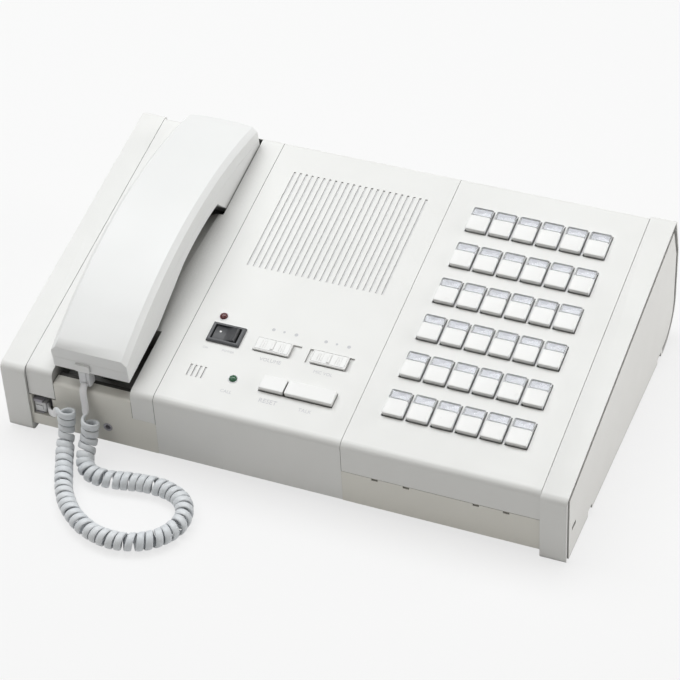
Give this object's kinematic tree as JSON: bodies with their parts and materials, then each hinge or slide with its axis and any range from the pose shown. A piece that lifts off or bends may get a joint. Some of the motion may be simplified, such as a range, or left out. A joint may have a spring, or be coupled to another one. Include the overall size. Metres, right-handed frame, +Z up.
{
  "type": "desk intercom station",
  "caption": "Wedge-shaped desk intercom station with a corded handset in a bay, a slotted loudspeaker grille, slide and rocker controls and a field of station keys.",
  "frame": {"origin": "middle of the footprint of the case and cheeks, on the table, without the cord", "axes": "+X to the user's right along the front edge, +Y from the user to the back, +Z up"},
  "size_m": [0.37, 0.3098, 0.1133],
  "materials": {
    "case_plastic": "fine-textured off-white moulding",
    "plate_plastic": "fine-textured off-white moulding",
    "handset_plastic": "smooth off-white moulding",
    "key_plastic": "smooth white key caps, clear windows",
    "switch_plastic": "black, half gloss",
    "lamp_plastic": "coloured clear lamp bodies",
    "clear_plastic": "clear moulded plug",
    "cord_sheath": "smooth soft sheath",
    "board": "coated board with black switches",
    "speaker_metal": "black"
  },
  "bodies": {
    "case": {"base_tray": "case_plastic", "left_cheek": "case_plastic", "right_cheek": "case_plastic", "side_plates": "plate_plastic", "cradle_cover": "case_plastic", "speaker_cover": "case_plastic", "key_cover": "case_plastic", "main_board": "board", "speaker": "speaker_metal", "switch_bezel": "switch_plastic", "status_lamps": "lamp_plastic", "base_plug": "clear_plastic", "base_lead": "cord_sheath", "coil_cord": "cord_sheath", "handset_lead": "cord_sheath"},
    "handset": {"handset_shell": "handset_plastic", "handset_cover": "handset_plastic", "handset_plug": "clear_plastic"},
    "hook": {"hook_plunger": "switch_plastic"},
    "rocker": {"power_rocker": "switch_plastic"},
    "left_slide": {"left_slide_knob": "key_plastic"},
    "right_slide": {"right_slide_knob": "key_plastic"},
    "reset": {"reset_key": "key_plastic"},
    "talk": {"talk_key": "key_plastic"},
    "key_01": {"station_key_01": "key_plastic"},
    "key_02": {"station_key_02": "key_plastic"},
    "key_03": {"station_key_03": "key_plastic"},
    "key_04": {"station_key_04": "key_plastic"},
    "key_05": {"station_key_05": "key_plastic"},
    "key_06": {"station_key_06": "key_plastic"},
    "key_07": {"station_key_07": "key_plastic"},
    "key_08": {"station_key_08": "key_plastic"},
    "key_09": {"station_key_09": "key_plastic"},
    "key_10": {"station_key_10": "key_plastic"},
    "key_11": {"station_key_11": "key_plastic"},
    "key_12": {"station_key_12": "key_plastic"},
    "key_13": {"station_key_13": "key_plastic"},
    "key_14": {"station_key_14": "key_plastic"},
    "key_15": {"station_key_15": "key_plastic"},
    "key_16": {"station_key_16": "key_plastic"},
    "key_17": {"station_key_17": "key_plastic"},
    "key_18": {"station_key_18": "key_plastic"},
    "key_19": {"station_key_19": "key_plastic"},
    "key_20": {"station_key_20": "key_plastic"},
    "key_21": {"station_key_21": "key_plastic"},
    "key_22": {"station_key_22": "key_plastic"},
    "key_23": {"station_key_23": "key_plastic"},
    "key_24": {"station_key_24": "key_plastic"},
    "key_25": {"station_key_25": "key_plastic"},
    "key_26": {"station_key_26": "key_plastic"},
    "key_27": {"station_key_27": "key_plastic"},
    "key_28": {"station_key_28": "key_plastic"},
    "key_29": {"station_key_29": "key_plastic"},
    "key_30": {"station_key_30": "key_plastic"},
    "key_31": {"station_key_31": "key_plastic"},
    "key_32": {"station_key_32": "key_plastic"},
    "key_33": {"station_key_33": "key_plastic"},
    "key_34": {"station_key_34": "key_plastic"},
    "key_35": {"station_key_35": "key_plastic"},
    "key_36": {"station_key_36": "key_plastic"}
  },
  "joints": [
    {"name": "handset_lift", "type": "slide", "parent": "case", "child": "handset", "axis": [0, -0.1925, 0.9813], "range_m": [0, 0.08], "deforming": ["handset_lead"]},
    {"name": "hook_rise", "type": "slide", "parent": "case", "child": "hook", "axis": [0, -0.1925, 0.9813], "range_m": [0, 0.003]},
    {"name": "rocker_tip", "type": "hinge", "parent": "case", "child": "rocker", "pos_m": [-0.0555, -0.05431, 0.06158], "axis": [0, 0.9813, 0.1925], "range_deg": [0, 20]},
    {"name": "left_slide_move", "type": "slide", "parent": "case", "child": "left_slide", "axis": [1, 0, 0], "range_m": [0, 0.0052]},
    {"name": "right_slide_move", "type": "slide", "parent": "case", "child": "right_slide", "axis": [1, 0, 0], "range_m": [-0.0026, 0.0026]},
    {"name": "reset_press", "type": "slide", "parent": "case", "child": "reset", "axis": [0, 0.1925, -0.9813], "range_m": [0, 0.0025], "stiffness_N_per_m": 300, "springref_m": -0.002},
    {"name": "talk_press", "type": "slide", "parent": "case", "child": "talk", "axis": [0, 0.1925, -0.9813], "range_m": [0, 0.0025], "stiffness_N_per_m": 300, "springref_m": -0.002},
    {"name": "key_01_press", "type": "slide", "parent": "case", "child": "key_01", "axis": [0, 0.1925, -0.9813], "range_m": [0, 0.0025], "stiffness_N_per_m": 300, "springref_m": -0.002},
    {"name": "key_02_press", "type": "slide", "parent": "case", "child": "key_02", "axis": [0, 0.1925, -0.9813], "range_m": [0, 0.0025], "stiffness_N_per_m": 300, "springref_m": -0.002},
    {"name": "key_03_press", "type": "slide", "parent": "case", "child": "key_03", "axis": [0, 0.1925, -0.9813], "range_m": [0, 0.0025], "stiffness_N_per_m": 300, "springref_m": -0.002},
    {"name": "key_04_press", "type": "slide", "parent": "case", "child": "key_04", "axis": [0, 0.1925, -0.9813], "range_m": [0, 0.0025], "stiffness_N_per_m": 300, "springref_m": -0.002},
    {"name": "key_05_press", "type": "slide", "parent": "case", "child": "key_05", "axis": [0, 0.1925, -0.9813], "range_m": [0, 0.0025], "stiffness_N_per_m": 300, "springref_m": -0.002},
    {"name": "key_06_press", "type": "slide", "parent": "case", "child": "key_06", "axis": [0, 0.1925, -0.9813], "range_m": [0, 0.0025], "stiffness_N_per_m": 300, "springref_m": -0.002},
    {"name": "key_07_press", "type": "slide", "parent": "case", "child": "key_07", "axis": [0, 0.1925, -0.9813], "range_m": [0, 0.0025], "stiffness_N_per_m": 300, "springref_m": -0.002},
    {"name": "key_08_press", "type": "slide", "parent": "case", "child": "key_08", "axis": [0, 0.1925, -0.9813], "range_m": [0, 0.0025], "stiffness_N_per_m": 300, "springref_m": -0.002},
    {"name": "key_09_press", "type": "slide", "parent": "case", "child": "key_09", "axis": [0, 0.1925, -0.9813], "range_m": [0, 0.0025], "stiffness_N_per_m": 300, "springref_m": -0.002},
    {"name": "key_10_press", "type": "slide", "parent": "case", "child": "key_10", "axis": [0, 0.1925, -0.9813], "range_m": [0, 0.0025], "stiffness_N_per_m": 300, "springref_m": -0.002},
    {"name": "key_11_press", "type": "slide", "parent": "case", "child": "key_11", "axis": [0, 0.1925, -0.9813], "range_m": [0, 0.0025], "stiffness_N_per_m": 300, "springref_m": -0.002},
    {"name": "key_12_press", "type": "slide", "parent": "case", "child": "key_12", "axis": [0, 0.1925, -0.9813], "range_m": [0, 0.0025], "stiffness_N_per_m": 300, "springref_m": -0.002},
    {"name": "key_13_press", "type": "slide", "parent": "case", "child": "key_13", "axis": [0, 0.1925, -0.9813], "range_m": [0, 0.0025], "stiffness_N_per_m": 300, "springref_m": -0.002},
    {"name": "key_14_press", "type": "slide", "parent": "case", "child": "key_14", "axis": [0, 0.1925, -0.9813], "range_m": [0, 0.0025], "stiffness_N_per_m": 300, "springref_m": -0.002},
    {"name": "key_15_press", "type": "slide", "parent": "case", "child": "key_15", "axis": [0, 0.1925, -0.9813], "range_m": [0, 0.0025], "stiffness_N_per_m": 300, "springref_m": -0.002},
    {"name": "key_16_press", "type": "slide", "parent": "case", "child": "key_16", "axis": [0, 0.1925, -0.9813], "range_m": [0, 0.0025], "stiffness_N_per_m": 300, "springref_m": -0.002},
    {"name": "key_17_press", "type": "slide", "parent": "case", "child": "key_17", "axis": [0, 0.1925, -0.9813], "range_m": [0, 0.0025], "stiffness_N_per_m": 300, "springref_m": -0.002},
    {"name": "key_18_press", "type": "slide", "parent": "case", "child": "key_18", "axis": [0, 0.1925, -0.9813], "range_m": [0, 0.0025], "stiffness_N_per_m": 300, "springref_m": -0.002},
    {"name": "key_19_press", "type": "slide", "parent": "case", "child": "key_19", "axis": [0, 0.1925, -0.9813], "range_m": [0, 0.0025], "stiffness_N_per_m": 300, "springref_m": -0.002},
    {"name": "key_20_press", "type": "slide", "parent": "case", "child": "key_20", "axis": [0, 0.1925, -0.9813], "range_m": [0, 0.0025], "stiffness_N_per_m": 300, "springref_m": -0.002},
    {"name": "key_21_press", "type": "slide", "parent": "case", "child": "key_21", "axis": [0, 0.1925, -0.9813], "range_m": [0, 0.0025], "stiffness_N_per_m": 300, "springref_m": -0.002},
    {"name": "key_22_press", "type": "slide", "parent": "case", "child": "key_22", "axis": [0, 0.1925, -0.9813], "range_m": [0, 0.0025], "stiffness_N_per_m": 300, "springref_m": -0.002},
    {"name": "key_23_press", "type": "slide", "parent": "case", "child": "key_23", "axis": [0, 0.1925, -0.9813], "range_m": [0, 0.0025], "stiffness_N_per_m": 300, "springref_m": -0.002},
    {"name": "key_24_press", "type": "slide", "parent": "case", "child": "key_24", "axis": [0, 0.1925, -0.9813], "range_m": [0, 0.0025], "stiffness_N_per_m": 300, "springref_m": -0.002},
    {"name": "key_25_press", "type": "slide", "parent": "case", "child": "key_25", "axis": [0, 0.1925, -0.9813], "range_m": [0, 0.0025], "stiffness_N_per_m": 300, "springref_m": -0.002},
    {"name": "key_26_press", "type": "slide", "parent": "case", "child": "key_26", "axis": [0, 0.1925, -0.9813], "range_m": [0, 0.0025], "stiffness_N_per_m": 300, "springref_m": -0.002},
    {"name": "key_27_press", "type": "slide", "parent": "case", "child": "key_27", "axis": [0, 0.1925, -0.9813], "range_m": [0, 0.0025], "stiffness_N_per_m": 300, "springref_m": -0.002},
    {"name": "key_28_press", "type": "slide", "parent": "case", "child": "key_28", "axis": [0, 0.1925, -0.9813], "range_m": [0, 0.0025], "stiffness_N_per_m": 300, "springref_m": -0.002},
    {"name": "key_29_press", "type": "slide", "parent": "case", "child": "key_29", "axis": [0, 0.1925, -0.9813], "range_m": [0, 0.0025], "stiffness_N_per_m": 300, "springref_m": -0.002},
    {"name": "key_30_press", "type": "slide", "parent": "case", "child": "key_30", "axis": [0, 0.1925, -0.9813], "range_m": [0, 0.0025], "stiffness_N_per_m": 300, "springref_m": -0.002},
    {"name": "key_31_press", "type": "slide", "parent": "case", "child": "key_31", "axis": [0, 0.1925, -0.9813], "range_m": [0, 0.0025], "stiffness_N_per_m": 300, "springref_m": -0.002},
    {"name": "key_32_press", "type": "slide", "parent": "case", "child": "key_32", "axis": [0, 0.1925, -0.9813], "range_m": [0, 0.0025], "stiffness_N_per_m": 300, "springref_m": -0.002},
    {"name": "key_33_press", "type": "slide", "parent": "case", "child": "key_33", "axis": [0, 0.1925, -0.9813], "range_m": [0, 0.0025], "stiffness_N_per_m": 300, "springref_m": -0.002},
    {"name": "key_34_press", "type": "slide", "parent": "case", "child": "key_34", "axis": [0, 0.1925, -0.9813], "range_m": [0, 0.0025], "stiffness_N_per_m": 300, "springref_m": -0.002},
    {"name": "key_35_press", "type": "slide", "parent": "case", "child": "key_35", "axis": [0, 0.1925, -0.9813], "range_m": [0, 0.0025], "stiffness_N_per_m": 300, "springref_m": -0.002},
    {"name": "key_36_press", "type": "slide", "parent": "case", "child": "key_36", "axis": [0, 0.1925, -0.9813], "range_m": [0, 0.0025], "stiffness_N_per_m": 300, "springref_m": -0.002}
  ],
  "couplings": [
    {"joint": "hook_rise", "follows": "handset_lift", "ratio": 0.0375}
  ]
}
